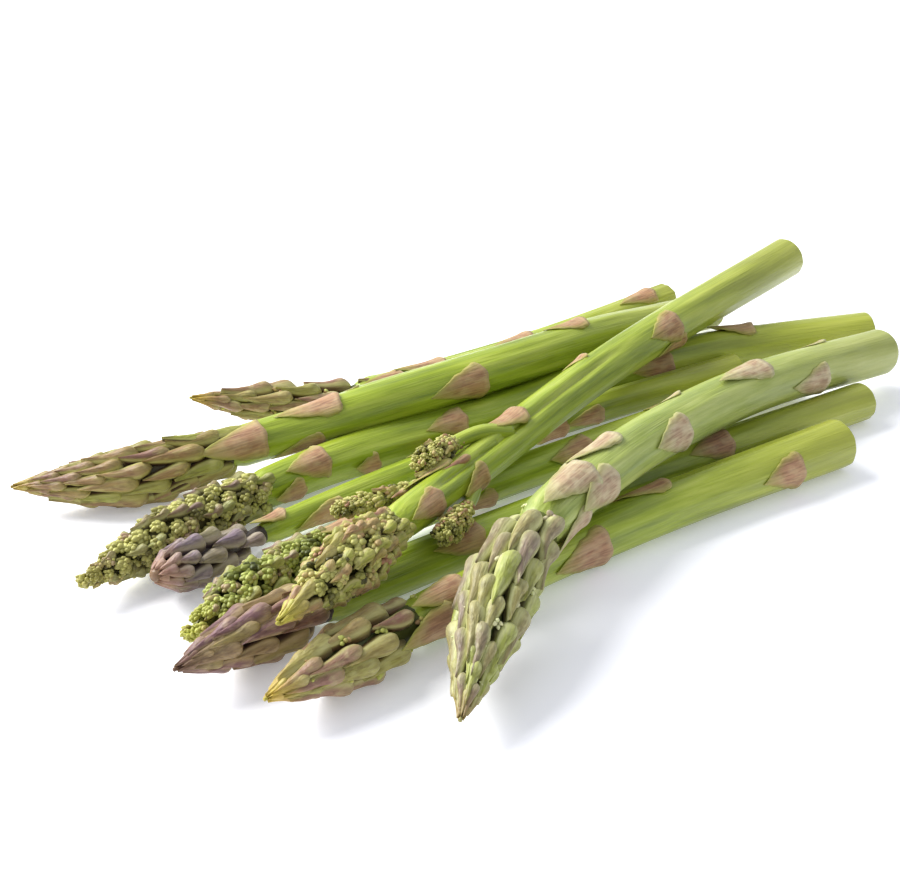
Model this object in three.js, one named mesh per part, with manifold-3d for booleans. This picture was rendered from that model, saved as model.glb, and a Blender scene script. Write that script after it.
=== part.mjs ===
// A loose bunch of nine green asparagus spears lying on a table, in millimetres, +Z up.
// The spears run along X, from the pointed heads at -X to the cut butts at +X. Three of them (the
// thick bent one in front, the long one that crosses on top and the long one at the back) rest on the
// others. Each spear is a stem with its scale leaves, and a head of overlapping bracts or small buds.
import * as THREE from "three";
import { mergeVertices } from "three/addons/utils/BufferGeometryUtils.js";
import Module from "manifold-3d";

const wasm = await Module();
wasm.setup();

// Driving dimensions.
const BUNCH_CENTRE = [11.6, -29]; // the middle of the whole bunch in X and Y, which becomes the origin
const STEM_SIDES = 11;
const CORE_SIDES = 7;
const STEM_STEP = 20; // length of one straight facet of a stem
const HEAD_GAP = 0.3; // between a head and the stem that it grew on
const BUTT_ROUNDING = 0.6; // how far the rim of the cut end is worn round
const SCALE_RISE = 0.8; // how proud a scale leaf stands of its stem
const SCALE_ROOT = 0.6; // how deep a scale leaf is rooted in its stem
const BRACT_ROOT = 2; // how deep a bract is rooted in the core of its head
const BUD_STRETCH = 1.3; // a bud's length over its width
const GOLDEN_TURN = 137.5; // degrees from one bract to the next round the head
const DEG = Math.PI / 180;

const STEM_GREEN = 0x86a53a;
const STEM_WAXY = 0x9bb56a;
const HEAD_PURPLE = 0x8a7670;
const HEAD_OLIVE = 0xa59c6a;
const HEAD_GREEN = 0x9fae5f;

// One entry for each spear, from the front of the bunch to its back.
// line: the middle of the spear, from the tip of its head to its cut butt.
// head: its length, its widest radius, the share of its length where it is widest, and its kind.
// neck and butt: the stem's radius just below the head and at the cut end.
// scales: [distance from the tip to the leaf's foot, degrees round the stem, length, width, lift].
// Degrees count from the back (0) over the top (90) to the front (180).
const SPEARS = [
  {
    name: "spear_1", // the thick bent spear in front, whose large pale head points at the viewer
    line: [
      [-68.5, -93.5, 7],
      [-52, -79.5, 11],
      [-34, -67.5, 15],
      [2.5, -53.5, 16],
      [51, -44.5, 15],
      [107, -40, 9],
    ],
    head: { length: 54, radius: 6.4, widest: 0.55, kind: "loose", bracts: 18, colour: HEAD_OLIVE },
    neck: 5.3,
    butt: 6,
    colour: STEM_WAXY,
    scales: [
      [62, 205, 15, 8, 0.8],
      [69, 101, 18, 9, 1.4],
      [74, 171, 15, 9, 1.0],
      [84, 62, 16, 8, 0.8],
      [103, 165, 12, 9, 0.4],
      [112, 20, 13, 9, 0],
      [138, 96, 17, 8, 0.6],
      [157.5, 177, 13, 8, 0],
      [167, 30, 12, 8, 0],
    ],
  },
  {
    name: "spear_2", // brown-green head with a yellow tip, beside the front spear
    line: [
      [-92, -70, 8],
      [-72, -66, 6.5],
      [-40, -61.5, 5],
      [7, -60, 5],
      [64, -63, 5.5],
    ],
    head: { length: 38, radius: 5.7, widest: 0.62, kind: "loose", bracts: 14, colour: HEAD_OLIVE },
    neck: 4.6,
    butt: 5.8,
    colour: STEM_GREEN,
    scales: [
      [42, 181, 14, 8, 1.0],
      [47, 106, 13, 7, 0.8],
      [83, 176, 14, 10, 0.2],
      [105, 55, 14, 9, 0.2],
      [139, 176, 11, 9, 0],
    ],
  },
  {
    name: "spear_3", // lies across the others, its butt in the air, with three side shoots
    line: [
      [-84.5, -62.5, 16],
      [-62, -53, 16.5],
      [-24, -36, 14],
      [39, -13.5, 15],
      [122, 5.5, 18],
    ],
    head: { length: 41, radius: 6.3, widest: 0.6, kind: "buds", buds: 18, colour: HEAD_OLIVE },
    neck: 3.8,
    butt: 5.7,
    colour: STEM_GREEN,
    scales: [
      [50.5, 148, 11, 6, 0.4],
      [62, 45, 13, 6, 0.6],
      [68, 184, 10, 8, 1.2],
      [90.5, 76, 15, 8, 1.8],
      [123.5, 40, 7, 6, 0],
      [156, 145, 12, 9, 0],
      [158, 215, 11, 7, 0],
    ],
  },
  {
    name: "spear_4", // purple-brown pointed head, stem nearly hidden by the front spear
    line: [
      [-100.5, -54, 8.5],
      [-76, -49, 6],
      [-40, -46, 4.5],
      [16, -46.5, 4.5],
      [88, -50.5, 4.5],
    ],
    head: { length: 37, radius: 5, widest: 0.6, kind: "tight", bracts: 14, colour: HEAD_PURPLE },
    neck: 4.5,
    butt: 4.9,
    colour: STEM_GREEN,
    scales: [
      [52, 20, 11, 7, 0.2],
      [72, 126, 12, 7, 0.2],
      [108, 206, 12, 8, 0],
      [142, 126, 12, 8, 0],
    ],
  },
  {
    name: "spear_5", // head opened into loose sprays of green buds
    line: [
      [-92, -42, 4.5],
      [-70, -35, 6],
      [-36, -30.5, 5.5],
      [18.5, -28.5, 4],
      [84, -31, 4.5],
    ],
    head: { length: 38, radius: 4.8, widest: 0.45, kind: "buds", buds: 17, colour: HEAD_GREEN },
    neck: 3.9,
    butt: 4.4,
    colour: STEM_GREEN,
    scales: [
      [44, 86, 9, 6, 0.4],
      [80, 206, 11, 7, 0],
      [109, 146, 12, 8, 0.4],
      [142, 66, 12, 8, 0],
    ],
  },
  {
    name: "spear_6", // thin, with a blunt grey-purple head
    line: [
      [-89.5, -24, 8],
      [-66.5, -18.5, 5],
      [-33, -14, 4],
      [19, -12, 3.5],
      [79, -17.3, 4],
    ],
    head: { length: 31, radius: 4.4, widest: 0.3, kind: "blunt", bracts: 11, colour: HEAD_PURPLE },
    neck: 2.8,
    butt: 4,
    colour: STEM_GREEN,
    scales: [
      [34, 76, 8, 5, 0.4],
      [48, 181, 13, 6, 0.4],
      [80, 66, 10, 6, 0],
      [113, 196, 10, 8, 1.4],
      [124, 176, 11, 5, 0.2],
    ],
  },
  {
    name: "spear_7", // long and thick, with a slender head opened into small green buds
    line: [
      [-101, -15.5, 6],
      [-72, -7.2, 6],
      [-34, -0.6, 5.2],
      [8, -3.1, 4.7],
      [46, -2, 4.5],
      [90, -10.2, 4.4],
      [122.2, -24.5, 5.5],
    ],
    head: { length: 50, radius: 5.2, widest: 0.55, kind: "buds", buds: 20, colour: HEAD_GREEN },
    neck: 4.5,
    butt: 5.7,
    colour: STEM_GREEN,
    scales: [
      [57, 190, 8, 6, 0.8],
      [65, 130, 11, 8, 0.4],
      [78, 190, 6, 6, 0.6],
      [102, 136, 10, 7, 0],
      [136, 220, 12, 8, 0],
      [167, 161, 12, 8, 0],
      [195, 72, 13, 10, 1.2],
    ],
  },
  {
    name: "spear_8", // the longest purple head, tight and pointed, lying on spear 7
    line: [
      [-96.5, 29.5, 6.5],
      [-74.5, 18.5, 6.5],
      [-40.5, 9.8, 10],
      [13.5, 1, 14.6],
      [53, 5.2, 12],
      [99, 11, 6],
    ],
    head: { length: 50, radius: 5.7, widest: 0.58, kind: "tight", bracts: 16, colour: HEAD_PURPLE },
    neck: 4.7,
    butt: 5.2,
    colour: STEM_GREEN,
    scales: [
      [55, 141, 15, 9, 0.4],
      [68, 215, 12, 7, 0.2],
      [74, 88, 15, 9, 0.2],
      [81, 20, 12, 8, 0],
      [109, 172, 14, 9, 0],
      [146, 66, 13, 9, 0],
    ],
  },
  {
    name: "spear_9", // at the back, its yellow-green head half behind spear 8
    line: [
      [-50.5, 34, 13],
      [-33, 30, 8],
      [-5, 25, 5],
      [40, 24, 4],
      [99, 28, 4.3],
    ],
    head: { length: 46, radius: 5, widest: 0.5, kind: "loose", bracts: 13, colour: HEAD_OLIVE },
    neck: 4.2,
    butt: 4.3,
    colour: STEM_GREEN,
    scales: [
      [54, 126, 12, 6, 0.6],
      [67, 101, 14, 6, 0.8],
      [96, 106, 13, 7, 0.2],
      [118, 250, 12, 7, 0],
      [143, 101, 13, 7, 0],
    ],
  },
];

// The side shoots of spear 3: a thin stalk out of a scale leaf's foot and a swollen spray of buds.
const SHOOTS = [
  {
    line: [
      [-8, -30.5, 17],
      [-14, -30, 19],
      [-22, -31, 19.8],
      [-34, -34.5, 19.5],
    ],
    stalk: 1.3,
    spray: 3,
    buds: 4,
  },
  {
    line: [
      [-14, -32.5, 16.5],
      [-28, -36.5, 17],
      [-40, -36.5, 15.5],
      [-54, -32.5, 14],
    ],
    stalk: 1.3,
    spray: 2.2,
    buds: 4,
  },
  {
    line: [
      [-20, -36, 12],
      [-26, -42, 12],
      [-34, -48, 12.5],
      [-42, -52, 13],
    ],
    stalk: 1.3,
    spray: 2.6,
    buds: 4,
  },
];

// A repeatable run of numbers between 0 and 1.
function seededRandom(seed) {
  let state = seed;
  return () => {
    state = (state * 1664525 + 1013904223) % 4294967296;
    return state / 4294967296;
  };
}

// A closed geometry as a solid, with its shared vertices merged and collapsed faces dropped.
function solid(geometry) {
  const bare = new THREE.BufferGeometry();
  bare.setAttribute("position", geometry.getAttribute("position"));
  if (geometry.index) {
    bare.setIndex(geometry.index);
  }
  const merged = mergeVertices(bare, 1e-4);
  const faces = [];
  const index = merged.index.array;
  for (let i = 0; i < index.length; i += 3) {
    const [a, b, c] = [index[i], index[i + 1], index[i + 2]];
    if (a !== b && b !== c && c !== a) {
      faces.push(a, b, c);
    }
  }
  const vertProperties = new Float32Array(merged.getAttribute("position").array);
  const triVerts = new Uint32Array(faces);
  return new wasm.Manifold(new wasm.Mesh({ numProp: 3, vertProperties, triVerts }));
}

// A solid as a three.js geometry again.
function geometryOf(made) {
  const mesh = made.getMesh();
  const geometry = new THREE.BufferGeometry();
  geometry.setAttribute("position", new THREE.BufferAttribute(new Float32Array(mesh.vertProperties), 3));
  geometry.setIndex(new THREE.BufferAttribute(new Uint32Array(mesh.triVerts), 1));
  return geometry;
}

// Moves every vertex of a geometry by a function that changes the vector it is given.
function reshape(geometry, move) {
  const position = geometry.getAttribute("position");
  const point = new THREE.Vector3();
  for (let i = 0; i < position.count; i++) {
    point.fromBufferAttribute(position, i);
    move(point);
    position.setXYZ(i, point.x, point.y, point.z);
  }
  return geometry;
}

// A curve along a spear or a shoot. place(point) takes x (towards the back), y (up) and z (distance from
// the tip) of a straight spear to the bent one.
function spine(points) {
  const vectors = points.map((p) => new THREE.Vector3(...p));
  const curve = new THREE.CatmullRomCurve3(vectors, false, "centripetal");
  const length = curve.getLength();
  const sky = new THREE.Vector3(0, 0, 1);
  function place(point) {
    const share = THREE.MathUtils.clamp(point.z / length, 0, 1);
    const along = curve.getTangentAt(share);
    const back = new THREE.Vector3().crossVectors(sky, along).normalize();
    const up = new THREE.Vector3().crossVectors(along, back);
    const base = curve.getPointAt(share);
    base.addScaledVector(along, point.z - share * length);
    base.addScaledVector(back, point.x);
    base.addScaledVector(up, point.y);
    point.copy(base);
  }
  return { length, place };
}

// A tapering rod from z0 to z1 along a straight spear, with a worn rim at its far end.
function rod(z0, z1, radiusAt, sides, step, rounding) {
  const section = new THREE.Shape();
  for (let i = 0; i < sides; i++) {
    const angle = ((i + 0.5) / sides) * 2 * Math.PI - Math.PI / 2;
    const [x, y] = [Math.cos(angle), Math.sin(angle)];
    if (i === 0) {
      section.moveTo(x, y);
    } else {
      section.lineTo(x, y);
    }
  }
  section.closePath();
  const steps = Math.max(2, Math.round((z1 - z0) / step)) + 1;
  const rod = new THREE.ExtrudeGeometry(section, { depth: steps, steps, bevelEnabled: false, curveSegments: 1 });
  return reshape(rod, (p) => {
    const last = p.z > steps - 0.5;
    const share = Math.min(p.z / (steps - 1), 1);
    const z = z0 + share * (z1 - rounding - z0) + (last ? rounding : 0);
    const r = radiusAt(z) - (last ? rounding : 0);
    p.set(p.x * r, p.y * r, z);
  });
}

// The pointed plate that scale leaves and bracts are made from, laid on a round body: its foot is at
// z = foot, its point is at z = foot - length, and under it the body's radius is bodyAt(z).
function plate({ foot, turn, length, width, bodyAt, rise, lift, depth, across, along }) {
  const geometry = new THREE.BoxGeometry(2, 1, 1, across, 1, along);
  return reshape(geometry, (p) => {
    const v = 0.5 - p.z;
    const z = foot - v * length;
    const spread = v < 0.1 ? 0.85 : Math.cos(((v - 0.1) / 0.9) ** 1.5 * 1.48);
    const body = bodyAt(z);
    const edge = p.x * p.x;
    const proud = rise * (0.6 + 0.4 * Math.sin(v * Math.PI)) + lift * v * v;
    const reach = p.y > 0 ? body + proud * (1 - 0.35 * edge) : Math.max(0.1, body - depth);
    const angle = turn * DEG - (p.x * spread * width) / 2 / (body + rise);
    p.set(reach * Math.cos(angle), reach * Math.sin(angle), z);
  });
}

// A small bud: a stretched ball with flat facets, its middle at (x, y, z).
function bud(x, y, z, radius) {
  const ball = new THREE.IcosahedronGeometry(radius, 0);
  ball.scale(1, 1, BUD_STRETCH);
  ball.translate(x, y, z);
  return ball;
}

function unite(parts) {
  return wasm.Manifold.union(parts);
}

// The core of a head, which its bracts or buds cover: a spindle from the tip to the neck.
function coreRadius(spear, z) {
  const { length, radius, widest, kind } = spear.head;
  const share = THREE.MathUtils.clamp(z / length, 0, 1);
  const swell = kind === "blunt" ? 0.36 : 0.62;
  if (share < widest) {
    return 0.35 + (radius - 0.35) * Math.sin(((share / widest) * Math.PI) / 2) ** (2 * swell);
  }
  const fall = THREE.MathUtils.smoothstep(share, widest, 1);
  return radius + (spear.neck - 0.2 - radius) * fall;
}

function core(spear, shrink) {
  const { length } = spear.head;
  const rings = 4;
  const profile = [new THREE.Vector2(0, 0)];
  for (let i = 0; i <= rings; i++) {
    const z = 0.4 + (length - 0.4) * (i / rings);
    profile.push(new THREE.Vector2(Math.max(0.3, coreRadius(spear, z) - shrink), z));
  }
  profile.push(new THREE.Vector2(0, length));
  const lathe = new THREE.LatheGeometry(profile, CORE_SIDES);
  lathe.rotateX(Math.PI / 2);
  return lathe;
}

// Overlapping bracts: they climb the head in a spiral, and the lowest ones are the largest.
function bractParts(spear) {
  const { length, bracts, kind } = spear.head;
  const loose = kind === "loose";
  const parts = [];
  for (let i = 0; i < bracts; i++) {
    const climb = (i + 1) / bracts;
    const foot = 4 + (length - 4.2) * climb ** 0.85;
    const long = Math.min(foot - 0.2, (loose ? 8 : 7) + 5.5 * climb);
    parts.push(
      plate({
        foot,
        turn: i * GOLDEN_TURN + 40,
        length: long,
        width: 2.6 + (loose ? 4.6 : 5) * climb,
        bodyAt: (z) => coreRadius(spear, z),
        rise: 0.8 + 0.3 * climb,
        lift: (loose ? 0.7 : 0.25) * climb,
        depth: BRACT_ROOT,
        across: 2,
        along: 2,
      }),
    );
  }
  return parts;
}

// Small buds crowded round the head in the same spiral, a little uneven.
function budParts(spear, seed) {
  const { length, buds } = spear.head;
  const random = seededRandom(seed);
  const parts = [];
  for (let i = 0; i < buds; i++) {
    const climb = (i + 0.6) / buds;
    const turn = (i * GOLDEN_TURN + 20 * random()) * DEG;
    const size = 1.5 + 1.3 * Math.sin(Math.min(1, climb * 1.6) * (Math.PI / 2)) + 0.4 * random();
    const z = 1.5 + (length - 1.5 - BUD_STRETCH * size) * climb ** 0.9;
    const reach = Math.max(0, coreRadius(spear, z) - size + 0.9 + 0.5 * random());
    parts.push(bud(reach * Math.cos(turn), reach * Math.sin(turn), z, size));
  }
  return parts;
}

function headSolid(spear, line, seed) {
  const budded = spear.head.kind === "buds";
  const parts = [core(spear, budded ? 0.7 : 0.2)].concat(budded ? budParts(spear, seed) : bractParts(spear));
  return unite(parts.map((part) => solid(reshape(part, line.place))));
}

function stemSolid(spear, line) {
  const start = spear.head.length + HEAD_GAP;
  const radiusAt = (z) => {
    const share = THREE.MathUtils.clamp((z - start) / (line.length - start), 0, 1);
    return spear.neck + (spear.butt - spear.neck) * share ** 0.6;
  };
  const parts = [rod(start, line.length, radiusAt, STEM_SIDES, STEM_STEP, BUTT_ROUNDING)];
  for (const [foot, turn, length, width, lift] of spear.scales) {
    parts.push(
      plate({
        foot,
        turn,
        length: Math.min(length, foot - start - 0.1),
        width,
        bodyAt: radiusAt,
        rise: SCALE_RISE,
        lift,
        depth: SCALE_ROOT,
        across: width > 7 ? 3 : 2,
        along: 2,
      }),
    );
  }
  return unite(parts.map((part) => solid(reshape(part, line.place))));
}

// A side shoot of spear 3: the stalk runs into a knobbly spray.
function shootSolid({ line, stalk, spray, buds }, seed) {
  const curve = spine(line);
  const random = seededRandom(seed);
  const start = curve.length * 0.4;
  const radiusAt = (z) => {
    const share = THREE.MathUtils.clamp((z - start) / (curve.length - start), 0, 1);
    return stalk + (spray - 0.6 - stalk) * Math.sin(share * Math.PI);
  };
  const parts = [rod(0, curve.length, radiusAt, 6, 6, 0.4)];
  for (let i = 0; i < buds; i++) {
    const share = (i + 0.5) / buds;
    const z = start + (curve.length - start) * share;
    const turn = i * GOLDEN_TURN * DEG;
    const reach = (spray - 1.1) * Math.sin(Math.min(1, share + 0.25) * Math.PI * 0.8 + 0.3);
    const size = 1.7 + 0.4 * random();
    parts.push(bud(reach * Math.cos(turn), reach * Math.sin(turn), z, size));
  }
  return unite(parts.map((part) => solid(reshape(part, curve.place))));
}

// What lies on the table is flattened by a hair where it touches it.
const ground = solid(new THREE.BoxGeometry(600, 600, 40).translate(0, 0, -20));

function meshOf(name, made, colour) {
  const material = new THREE.MeshStandardMaterial({ color: colour, roughness: 0.5, metalness: 0 });
  const mesh = new THREE.Mesh(geometryOf(made.subtract(ground)), material);
  mesh.name = name;
  return mesh;
}

const bunch = new THREE.Group();
bunch.position.set(-BUNCH_CENTRE[0], -BUNCH_CENTRE[1], 0);
SPEARS.forEach((spear, i) => {
  const line = spine(spear.line);
  let stem = stemSolid(spear, line);
  if (spear.name === "spear_3") {
    stem = unite([stem, ...SHOOTS.map((shoot, k) => shootSolid(shoot, 70 + k))]);
  }
  bunch.add(meshOf(spear.name + "_head", headSolid(spear, line, 11 + i), spear.head.colour));
  bunch.add(meshOf(spear.name + "_stem", stem, spear.colour));
});

export default bunch;
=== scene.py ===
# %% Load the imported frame
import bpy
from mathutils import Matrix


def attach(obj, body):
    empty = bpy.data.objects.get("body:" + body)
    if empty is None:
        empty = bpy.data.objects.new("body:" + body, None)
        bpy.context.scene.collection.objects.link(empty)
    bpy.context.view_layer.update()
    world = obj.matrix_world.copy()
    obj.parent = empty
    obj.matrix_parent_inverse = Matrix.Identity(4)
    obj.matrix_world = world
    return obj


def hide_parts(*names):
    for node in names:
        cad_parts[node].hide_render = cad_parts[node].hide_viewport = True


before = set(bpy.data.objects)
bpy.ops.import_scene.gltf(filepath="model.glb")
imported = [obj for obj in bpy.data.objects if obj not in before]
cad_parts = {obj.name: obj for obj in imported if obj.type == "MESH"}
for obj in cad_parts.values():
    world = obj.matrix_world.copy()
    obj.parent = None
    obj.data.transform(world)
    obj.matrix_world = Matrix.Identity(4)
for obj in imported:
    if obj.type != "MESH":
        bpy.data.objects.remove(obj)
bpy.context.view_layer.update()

# %% [markdown]
# A loose bunch of nine green asparagus spears lies on a white table, heads to the left, butts to the right.
# Each spear is a juicy stem with a few papery scale leaves, a cut end, and a head of bracts or small buds.
# Everything is first made on a straight spear, in millimetres, where a point is given by how far it lies
# towards the back, how far up, and how far along from the tip. One function then bends it into its place.
# That keeps every shape simple, and the same function works for stems, leaves, bracts and buds.

# %% Tools and units
import math

import bpy
import numpy as np
from mathutils import Vector

MM = 0.001  # all shapes are worked out in millimetres, and Blender wants metres
BUNCH_CENTRE = np.array([11.6, -29.0, 0.0])  # this point of the given lines becomes the origin
GOLDEN_TURN = math.radians(137.5)
HEAD_GAP = 0.3  # between a head and its stem


def linear(hex_colour):
    """An sRGB colour such as #86a53a as the linear red, green, blue and alpha that a shader wants."""
    parts = [int(hex_colour[i : i + 2], 16) / 255 for i in (1, 3, 5)]
    return [c / 12.92 if c <= 0.04045 else ((c + 0.055) / 1.055) ** 2.4 for c in parts] + [1.0]


print("a mid grey, #808080, is", round(linear("#808080")[0], 3), "in linear light")

# %% [markdown]
# The nine spears, from the front of the bunch to its back. Their middle lines are given points in
# millimetres, the same as the solids', and so are the places of the scale leaves: how far from the tip the
# leaf's foot is, how far round the stem it stands (0 at the back, 90 on top, 180 in front), its length, its
# width and how far its point stands off. Heads come in four kinds: loose bracts, tight ones, blunt ones,
# and heads that have opened into small buds. A few spears have something of their own: a stem that is
# fuller in the middle, a head that is sunk a little, a crease (its turn, where it starts and ends, its
# depth), a tip that is still closed, or loose bracts at the neck. The three side shoots belong to spear 3.

# %% The spears
SPEARS = [
    dict(
        name="spear_1", kind="loose", tint="cream", skin="waxy",
        line=[(-68.5, -93.5, 7), (-52, -79.5, 11), (-34, -67.5, 15), (2.5, -53.5, 16), (51, -44.5, 15),
              (107, -40, 9)],
        head=54, radius=6.4, widest=0.55, neck=5.3, butt=6,
        scales=[(62, 205, 15, 8, 0.8), (69, 101, 18, 9, 1.4), (74, 171, 15, 9, 1.0), (84, 62, 16, 8, 0.8),
                (103, 165, 12, 9, 0.4), (112, 20, 13, 9, 0), (138, 96, 17, 8, 0.6), (157.5, 177, 13, 8, 0),
                (167, 30, 12, 8, 0)],
    ),
    dict(
        name="spear_2", kind="loose", tint="olive", skin="green",
        line=[(-92, -70, 8), (-72, -66, 6.5), (-40, -61.5, 5), (7, -60, 5), (64, -63, 5.5)],
        head=38, radius=5.7, widest=0.62, neck=4.6, butt=5.8,
        scales=[(42, 181, 14, 8, 1.0), (47, 106, 13, 7, 0.8), (83, 176, 14, 10, 0.2), (105, 55, 14, 9, 0.2),
                (139, 176, 11, 9, 0)],
    ),
    dict(
        name="spear_3", kind="buds", tint="sandy", skin="green",
        line=[(-84.5, -62.5, 16), (-62, -53, 16.5), (-24, -36, 14), (39, -13.5, 15), (122, 5.5, 18)],
        head=41, radius=6.3, widest=0.6, neck=3.8, butt=5.7,
        creases=[(118, 50, 140, 1.2)], closed_tip=13, sunk=0.8,
        scales=[(50.5, 148, 11, 6, 0.4), (62, 45, 13, 6, 0.6), (68, 184, 10, 8, 1.2), (90.5, 76, 15, 8, 1.8),
                (123.5, 40, 7, 6, 0), (156, 145, 12, 9, 0), (158, 215, 11, 7, 0)],
    ),
    dict(
        name="spear_4", kind="tight", tint="dusky", skin="green",
        line=[(-100.5, -54, 8.5), (-76, -49, 6), (-40, -46, 4.5), (16, -46.5, 4.5), (88, -50.5, 4.5)],
        head=37, radius=5, widest=0.6, neck=4.5, butt=4.9,
        scales=[(52, 20, 11, 7, 0.2), (72, 126, 12, 7, 0.2), (108, 206, 12, 8, 0), (142, 126, 12, 8, 0)],
    ),
    dict(
        name="spear_5", kind="buds", tint="leafy", skin="green",
        line=[(-92, -42, 4.5), (-70, -35, 6), (-36, -30.5, 5.5), (18.5, -28.5, 4), (84, -31, 4.5)],
        head=38, radius=4.8, widest=0.45, neck=3.9, butt=4.4,
        scales=[(44, 86, 9, 6, 0.4), (80, 206, 11, 7, 0), (109, 146, 12, 8, 0.4), (142, 66, 12, 8, 0)],
    ),
    dict(
        name="spear_6", kind="blunt", tint="slate", skin="green",
        line=[(-89.5, -24, 8), (-66.5, -18.5, 5), (-33, -14, 4), (19, -12, 3.5), (79, -17.3, 4)],
        head=31, radius=4.4, widest=0.3, neck=2.8, butt=4,
        scales=[(34, 76, 8, 5, 0.4), (48, 181, 13, 6, 0.4), (80, 66, 10, 6, 0), (113, 196, 10, 8, 1.4),
                (124, 176, 11, 5, 0.2)],
    ),
    dict(
        name="spear_7", kind="buds", tint="mossy", skin="green", fuller=0.4,
        line=[(-101, -15.5, 6), (-72, -7.2, 6), (-34, -0.6, 5.2), (8, -3.1, 4.7), (46, -2, 4.5),
              (90, -10.2, 4.4), (122.2, -24.5, 5.5)],
        head=50, radius=5.2, widest=0.55, neck=4.5, butt=5.7,
        scales=[(57, 190, 8, 6, 0.8), (65, 130, 11, 8, 0.4), (78, 190, 6, 6, 0.6), (102, 136, 10, 7, 0),
                (136, 220, 12, 8, 0), (167, 161, 12, 8, 0), (195, 72, 13, 10, 1.2)],
    ),
    dict(
        name="spear_8", kind="tight", tint="purple", skin="green", fuller=0.4,
        loose_bracts=[(53, 81, 19, 5, 1.8), (48, 215, 15, 5, 1.2)],
        line=[(-96.5, 29.5, 6.5), (-74.5, 18.5, 6.5), (-40.5, 9.8, 10), (13.5, 1, 14.6), (53, 5.2, 12),
              (99, 11, 6)],
        head=50, radius=5.7, widest=0.58, neck=4.7, butt=5.2,
        scales=[(55, 141, 15, 9, 0.4), (68, 215, 12, 7, 0.2), (74, 88, 15, 9, 0.2), (81, 20, 12, 8, 0),
                (109, 172, 14, 9, 0), (146, 66, 13, 9, 0)],
    ),
    dict(
        name="spear_9", kind="loose", tint="olive", skin="green", sunk=0.8,
        loose_bracts=[(56, 86, 13, 6, 1.0), (70, 91, 12, 5, 1.0)],
        line=[(-50.5, 34, 13), (-33, 30, 8), (-5, 25, 5), (40, 24, 4), (99, 28, 4.3)],
        head=46, radius=5, widest=0.5, neck=4.2, butt=4.3,
        scales=[(54, 126, 12, 6, 0.6), (67, 101, 14, 6, 0.8), (96, 106, 13, 7, 0.2), (118, 250, 12, 7, 0),
                (143, 101, 13, 7, 0)],
    ),
]

SHOOTS = [
    dict(line=[(-8, -30.5, 17), (-14, -30, 18.6), (-22, -31, 19), (-35, -34.5, 18.6)],
         stalk=1.6, spray=2.3, budded=16),
    dict(line=[(-14, -32.5, 16.5), (-28, -36.5, 17), (-40, -36.5, 15.5), (-54, -32.5, 14)],
         stalk=1.3, spray=1.5, budded=22, bracts=[(25, 200, 9, 3.4), (29, 60, 10, 3.6), (33, 130, 9, 3.2)]),
    dict(line=[(-20, -36, 12), (-26, -42, 12), (-34, -48, 12.5), (-42, -52, 13)],
         stalk=1.3, spray=2.2, budded=16),
]

print(len(SPEARS), "spears and", len(SHOOTS), "side shoots")

# %% [markdown]
# A spear's middle line is a smooth curve through its points. A centripetal Catmull-Rom curve passes through
# every point and never loops back at a tight bend, which a plain one may do. It is sampled closely, with
# the length so far at each sample, so that a distance along the spear is easy to look up.

# %% The smooth middle line, and bending a straight spear on to it


def smooth_line(points, samples=60):
    """Close samples of the smooth line through the points, and the length so far at each of them."""
    points = np.array(points, float)
    ends = np.vstack([2 * points[0] - points[1], points, 2 * points[-1] - points[-2]])
    found = []
    t = np.linspace(0, 1, samples, endpoint=False)[:, None]
    for a, b, c, d in zip(ends, ends[1:], ends[2:], ends[3:]):
        ab, bc, cd = [np.linalg.norm(q - p) ** 0.5 for p, q in ((a, b), (b, c), (c, d))]
        leaving = ((b - a) / ab - (c - a) / (ab + bc) + (c - b) / bc) * bc
        arriving = ((c - b) / bc - (d - b) / (bc + cd) + (d - c) / cd) * bc
        square = 3 * (c - b) - 2 * leaving - arriving
        cube = 2 * (b - c) + leaving + arriving
        found.append(b + leaving * t + square * t**2 + cube * t**3)
    middle = np.vstack(found + [points[-1:]])
    length = np.concatenate([[0], np.cumsum(np.linalg.norm(np.diff(middle, axis=0), axis=1))])
    return middle, length


def unit(vectors):
    return vectors / np.linalg.norm(vectors, axis=-1, keepdims=True)


def bend(line, straight):
    """Takes points of a straight spear (back, up, along, in mm) to where they lie in the bunch."""
    middle, length = line
    along = np.clip(straight[:, 2], 0, length[-1])
    slope = np.gradient(middle, length, axis=0)
    base = np.column_stack([np.interp(along, length, middle[:, k]) for k in range(3)])
    ahead = unit(np.column_stack([np.interp(along, length, slope[:, k]) for k in range(3)]))
    back = unit(np.cross([0.0, 0.0, 1.0], ahead))
    up = np.cross(ahead, back)
    bent = base + ahead * (straight[:, 2] - along)[:, None] + back * straight[:, :1] + up * straight[:, 1:2]
    bent[:, 2] = np.maximum(bent[:, 2], 0.0)
    return (bent - BUNCH_CENTRE) * MM


for spear in SPEARS:
    spear["path"] = smooth_line(spear["line"])
    spear["length"] = spear["path"][1][-1]
    print(spear["name"], "is", round(spear["length"]), "mm long")

# %% [markdown]
# The stem thickens from the neck to the butt, and the head is a spindle that swells and then draws in to
# the neck. A blunt head swells at once, the others slowly. Both radii are formulas of the distance from the
# tip, shared by the skin, the leaves and the bracts, so that all of them lie on each other without a fit.

# %% Radius of the stem and of the head
TIP_RADIUS = 0.35
CORE_UNDER_NECK = 0.2
FULLER_FROM_END = 12
FULLER_EASE = 25


def ease(x):
    """Goes smoothly from 0 to 1 while x does, and stays there on either side."""
    x = np.clip(x, 0, 1)
    return x * x * (3 - 2 * x)


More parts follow.
